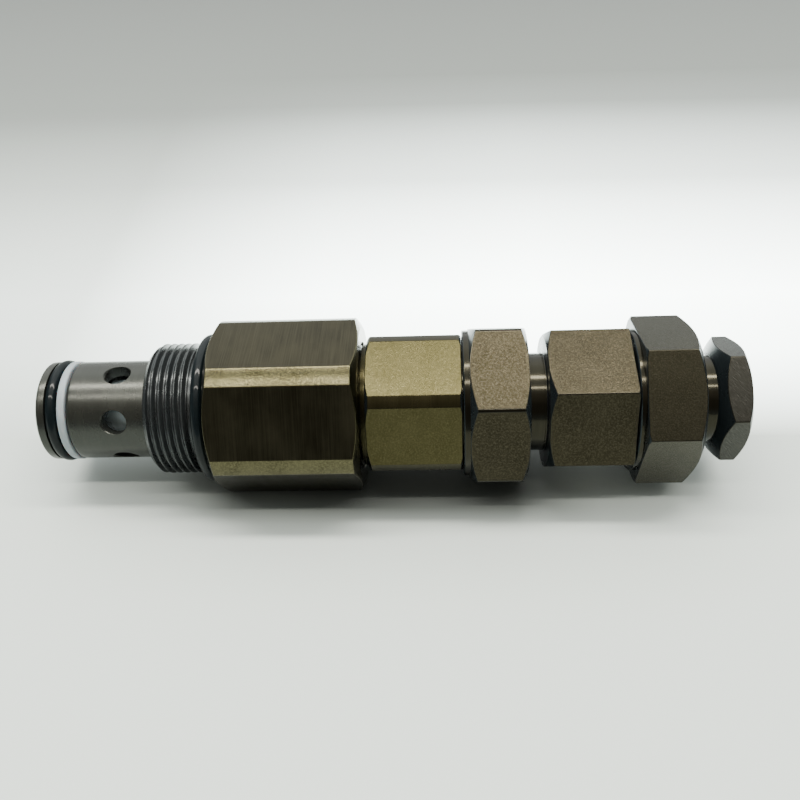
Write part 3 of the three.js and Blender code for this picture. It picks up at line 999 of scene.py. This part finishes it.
def lock_nut(node, hex_start, flats, corner_degrees, washer, face_radii, rounding, grain):
    """A hexagon nut with a washer face of radius washer at its front."""
    start, end = span(node)

    def outline(angle):
        hexagon = hex_corners(angle, hex_start, end, flats, corner_degrees, face_radii,
                              rounding=rounding)
        corners = [
            (start, NUT_BORE + 0.8, 0.1),
            (start, washer - 0.3, 0.15),
            (start + 0.3, washer, 0.15),
            (hex_start, min(washer, hexagon[0][1] - 0.02)),
            *hexagon,
            (end, NUT_BORE + 0.8, 0.1),
            (end - 0.8, NUT_BORE, 0.1),
            (start + 0.8, NUT_BORE, 0.1),
            (start, NUT_BORE + 0.8),
        ]
        return fillet(corners)[:-1]

    angles = hex_angles(flats, corner_degrees, rounding=rounding)
    piece = revolve(node + "_fine", outline, angles, 50)
    add_material(piece, NECK_TURNED)
    paint_flats(piece, grain, flats, corner_degrees, (hex_start, end))
    paint_ends(piece)
    flatten_normals(piece)
    settle(piece, node, "grained_plated", node)


def lock_nuts():
    lock_nut("lock_nut_1", 22, NUT_1_FLATS, NUT_1_CORNER, washer=20,
             face_radii=(20.1, 20.3), rounding=NUT_1_ROUND, grain=NUT_GRAIN)
    lock_nut("lock_nut_2", 66.4, NUT_2_FLATS, NUT_2_CORNER, washer=19.25,
             face_radii=(21.9, 19.4), rounding=CORNER_ROUND, grain=DARK_GRAIN)


def stem_thread(start, end):
    """The corners of a hidden threaded stem, with its lead chamfer at the front."""
    return [
        (start, STEM_THREAD_RADIUS - 1, 0.1),
        (start + 1, STEM_THREAD_RADIUS, 0.1),
        (end, STEM_THREAD_RADIUS, 0.1),
    ]


def adjuster():
    start, end = span("adjuster")
    hex_start = 42.3
    bore, piston_start = 7.6, 25.5
    plug_start, plug_thread = 48.5, 58
    stem_end, neck_start = 2, 37.3

    def outline(angle):
        hexagon = hex_corners(angle, hex_start, end, ADJUSTER_FLATS, ADJUSTER_CORNER,
                              (18, 20.1))
        corners = [
            (start, bore, 0.2),
            (start, STEM_RADIUS - 0.5, 0.2),
            (start + 0.5, STEM_RADIUS, 0.2),
            *groove(*STEM_GROOVE, STEM_RADIUS),
            (stem_end, STEM_RADIUS, 0.1),
            *stem_thread(stem_end, neck_start),
            (neck_start, NECK_RADIUS, 0.1),
            (hex_start, NECK_RADIUS, 0.4),
            *hexagon,
            (end, NUT_BORE + 0.5, 0.1),
            (end - 0.5, NUT_BORE, 0.1),
            (plug_thread, NUT_BORE, 0.1),
            (plug_thread, PLUG_BORE, 0.1),
            (plug_start, PLUG_BORE, 0.1),
            (plug_start, POPPET_BORE, 0.1),
            (piston_start, POPPET_BORE, 0.1),
            (piston_start, bore, 0.1),
            (start, bore),
        ]
        return fillet(corners)[:-1]

    angles = hex_angles(ADJUSTER_FLATS, ADJUSTER_CORNER)
    piece = revolve("adjuster_fine", outline, angles, 50)
    add_material(piece, NECK_TURNED)
    paint_flats(piece, ADJUSTER_GRAIN, ADJUSTER_FLATS, ADJUSTER_CORNER, (hex_start, end))
    paint_ends(piece)
    flatten_normals(piece)
    settle(piece, "adjuster", "grained_plated", "adjuster")
    place_o_ring("adjuster_o_ring", 1.9, "adjuster_slide")


def signal_piston():
    start, end = span("signal_piston")
    rod, head_start = 6.5, 31
    head = POPPET_BORE - SLIDING_GAP
    piece = turned("signal_piston_fine", [
        (start, 0),
        (start, rod - 0.5, 0.2),
        (start + 0.5, rod, 0.2),
        (head_start, rod, 0.4),
        (head_start, head, 0.3),
        *groove(*PISTON_GROOVE, head),
        (end, head, 0.3),
        (end, 0),
    ])
    add_material(piece, HARD_STEEL)
    settle(piece, "signal_piston", "hard_steel", "signal_piston")
    place_o_ring("piston_o_ring", 1.85, "signal_piston")


def end_plug():
    start, end = span("end_plug")
    hex_start = 86.4
    front = PLUG_BORE - SLIDING_GAP
    stem_start = 60
    neck_start = span("lock_nut_2")[1] - 1
    port, port_end = 5.9, 82

    def outline(angle):
        hexagon = hex_corners(angle, hex_start, end, PLUG_FLATS, PLUG_CORNER, (12.3, 14.6))
        corners = [
            (start, PASSAGE_RADIUS, 0.2),
            (start, front, 0.2),
            *groove(*PLUG_GROOVE, front),
            (stem_start, front, 0.1),
            *stem_thread(stem_start, neck_start),
            (neck_start, PLUG_NECK_RADIUS, 0.1),
            (hex_start - 0.1, PLUG_NECK_RADIUS, 0.1),
            *hexagon,
            (end, port + 0.8, 0.1),
            (end - 0.8, port, 0.1),
            (port_end, port, 0.1),
            (port_end, PASSAGE_RADIUS, 0.1),
            (start, PASSAGE_RADIUS),
        ]
        return fillet(corners)[:-1]

    piece = revolve("end_plug_fine", outline, hex_angles(PLUG_FLATS, PLUG_CORNER), 50)
    add_material(piece, NECK_TURNED)
    paint_flats(piece, PLUG_BRUSHED, PLUG_FLATS, PLUG_CORNER, (hex_start, end))
    paint_ends(piece)
    flatten_normals(piece)
    settle(piece, "end_plug", "grained_plated", "end_plug")
    place_o_ring("end_plug_o_ring", 1.85, "end_plug_slide")


sleeve()
nose_seals()
main_poppet()
main_spring()
valve_body()
pilot_seat()
pilot_poppet()
pilot_spring()
spring_seat()
pilot_housing()
lock_nuts()
adjuster()
signal_piston()
end_plug()


# ---- floor and light ----

def gradient(nodes, value, stops, low, high):
    """A colour from a value between low and high; stops are [value, brightness, tint]."""
    share = nodes.spread(value, 0, 1, low, high)
    node = nodes.add("ShaderNodeValToRGB")
    elements = node.color_ramp.elements
    last = len(stops) - 1
    for i, (at, brightness, tint) in enumerate(stops):
        place = (at - low) / (high - low)
        if 0 < i < last:
            element = elements.new(place)
        else:
            element = elements[0 if i == 0 else len(elements) - 1]
        element.position = place
        element.color = (*[brightness * part for part in tint], 1)
    nodes.link(share, node.inputs["Fac"])
    return node.outputs["Color"]


PLAIN = (1, 1, 1)
PALE = (0.90, 1.0, 0.96)

# The floor's tone along Y is a painted fall-off of light: bright in front and near the valve,
# darker far behind it. Stops are metres behind the axis, brightness and tint.
FLOOR_PAINTED_FALLOFF = [
    (-0.5, 0.60, PALE),
    (-0.05, 0.62, PALE),
    (0.0, 0.58, PALE),
    (0.12, 0.50, PALE),
    (0.25, 0.20, PALE),
    (0.45, 0.15, PALE),
    (1.2, 0.14, PALE),
]

# A painted pool of light: the floor itself glows in a bright patch behind the valve, along Y and
# along X.
PAINTED_LIGHT_POOL_ALONG_Y = [
    (0.01, 0.0, PALE),
    (0.05, 0.75, PALE),
    (0.085, 1.0, PALE),
    (0.125, 0.62, PALE),
    (0.175, 0.22, PALE),
    (0.26, 0.02, PALE),
    (0.3, 0.0, PALE),
]
PAINTED_LIGHT_POOL_ALONG_X = [
    (-0.3, 0.0, PLAIN),
    (-0.12, 0.12, PLAIN),
    (-0.03, 0.75, PLAIN),
    (0.05, 1.0, PLAIN),
    (0.13, 0.85, PLAIN),
    (0.5, 0.0, PLAIN),
]
PAINTED_LIGHT_POOL_STRENGTH = 10

# A painted shadow: the floor's colour is darker under the valve, where little light reaches: along
# Y and along X.
SHADE_ALONG_Y = [
    (-0.05, 0.0, PLAIN),
    (-0.029, 0.06, PLAIN),
    (-0.024, 0.25, PLAIN),
    (-0.018, 0.7, PLAIN),
    (-0.012, 0.85, PLAIN),
    (0.01, 0.85, PLAIN),
    (0.03, 0.0, PLAIN),
]
SHADE_ALONG_X = [
    (-0.1, 0.0, PLAIN),
    (-0.055, 0.5, PLAIN),
    (-0.045, 0.85, PLAIN),
    (-0.02, 1.0, PLAIN),
    (0.035, 1.0, PLAIN),
    (0.058, 0.3, PLAIN),
    (0.08, 0.12, PLAIN),
    (0.11, 0.0, PLAIN),
]


def floor_material():
    material, nodes, shader = new_material("floor")
    shader.inputs["Roughness"].default_value = 0.55
    shader.inputs["Specular IOR Level"].default_value = 0.3
    x, y, _ = nodes.parts("Object")

    def along(value, stops):
        return gradient(nodes, value, stops, stops[0][0], stops[-1][0])

    # The floor's colour carries a painted fall-off of light along Y.
    tone = along(y, FLOOR_PAINTED_FALLOFF)
    # The floor's colour is mixed towards black under the valve: a painted contact shadow.
    shade = multiply(nodes, along(y, SHADE_ALONG_Y), along(x, SHADE_ALONG_X))
    nodes.link(mix_colors(nodes, shade, tone, (0, 0, 0)), shader.inputs["Base Color"])
    # The floor glows here: a painted pool of light behind the valve.
    painted_light_pool = multiply(nodes, along(y, PAINTED_LIGHT_POOL_ALONG_Y), along(x, PAINTED_LIGHT_POOL_ALONG_X))
    nodes.link(painted_light_pool, shader.inputs["Emission Color"])
    shader.inputs["Emission Strength"].default_value = PAINTED_LIGHT_POOL_STRENGTH
    return material


def floor():
    """The valve lies on the edge of the body's lower flat, near the seat face, and on a
    corner of lock nut 1, so the floor leans a little against the valve's axis."""
    body_x, body_z = (SEAT_FACE + 0.6) * MM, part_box("valve_body")[0].z
    nut_x, nut_z = 23.5 * MM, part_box("lock_nut_1")[0].z
    slope = (nut_z - body_z) / (nut_x - body_x)
    half, gap = 1.6, 2e-5
    verts = []
    for x, y in [(-half, -half), (half, -half), (half, half), (-half, half)]:
        verts.append((x, y, body_z + slope * (x - body_x) - gap))
    mesh = bpy.data.meshes.new("floor")
    mesh.from_pydata(verts, [], [(0, 1, 2, 3)])
    plane = bpy.data.objects.new("floor", mesh)
    bpy.context.scene.collection.objects.link(plane)
    mesh.materials.append(floor_material())


STRIP_LENGTH = 1.3
STRIP_DISTANCE = 0.9
STRIP_COLOR = (1.0, 0.95, 0.86)


def strip_light(name, around, watts, width):
    """A long soft light along the valve's axis. around is its angle from -Y towards +Z."""
    angle = math.radians(around)
    away = Vector((0, -math.cos(angle), math.sin(angle)))
    data = bpy.data.lights.new(name, "AREA")
    data.shape = "RECTANGLE"
    data.size = STRIP_LENGTH
    data.size_y = width
    data.energy = watts
    data.color = STRIP_COLOR
    light = bpy.data.objects.new(name, data)
    bpy.context.scene.collection.objects.link(light)
    light.location = STRIP_DISTANCE * away
    light.rotation_euler = Matrix.Rotation(math.pi / 2 - angle, 3, "X").to_euler()


NEUTRAL = (0.97, 1.0, 0.97)
WARM = (1.0, 0.93, 0.80)
COOL = (0.88, 1.0, 1.05)

# The room round the valve's axis: degrees from -Y towards +Z, brightness and tint.
# Its two ends, along the axis, have a darker colour of their own.
ROOM = [
    (-10, 0.14, COOL),
    (3, 0.17, COOL),
    (15, 0.10, WARM),
    (36, 0.11, WARM),
    (47, 0.21, WARM),
    (58, 0.27, WARM),
    (68, 0.40, NEUTRAL),
    (90, 0.70, NEUTRAL),
    (108, 0.84, NEUTRAL),
    (138, 1.10, NEUTRAL),
    (165, 0.50, NEUTRAL),
    (180, 0.46, NEUTRAL),
]
ROOM_ENDS = (0.115, 0.13, 0.135)
ENDS_FROM, ENDS_FULL = 0.45, 0.85
ROOM_STRENGTH = 3.0


def room_light():
    """A pale room: bright above and behind, dark in front of the valve."""
    world = bpy.data.worlds.new("room")
    bpy.context.scene.world = world
    world.use_nodes = True
    nodes = Nodes(world.node_tree)
    x, y, z = nodes.parts("Generated")
    degrees = nodes.math("MULTIPLY", nodes.around(y, z), math.degrees(1))
    sides = gradient(nodes, degrees, ROOM, -180, 200)
    share = nodes.add("ShaderNodeMapRange", interpolation_type="SMOOTHSTEP")
    share.inputs["From Min"].default_value = ENDS_FROM
    share.inputs["From Max"].default_value = ENDS_FULL
    nodes.link(nodes.math("ABSOLUTE", x), share.inputs["Value"])
    background = world.node_tree.nodes["Background"]
    color = mix_colors(nodes, share.outputs["Result"], sides, ROOM_ENDS)
    nodes.link(color, background.inputs["Color"])
    background.inputs["Strength"].default_value = ROOM_STRENGTH


floor()
strip_light("strip_back", 99, 17, 0.09)
strip_light("strip_front", 73, 7, 0.045)
room_light()
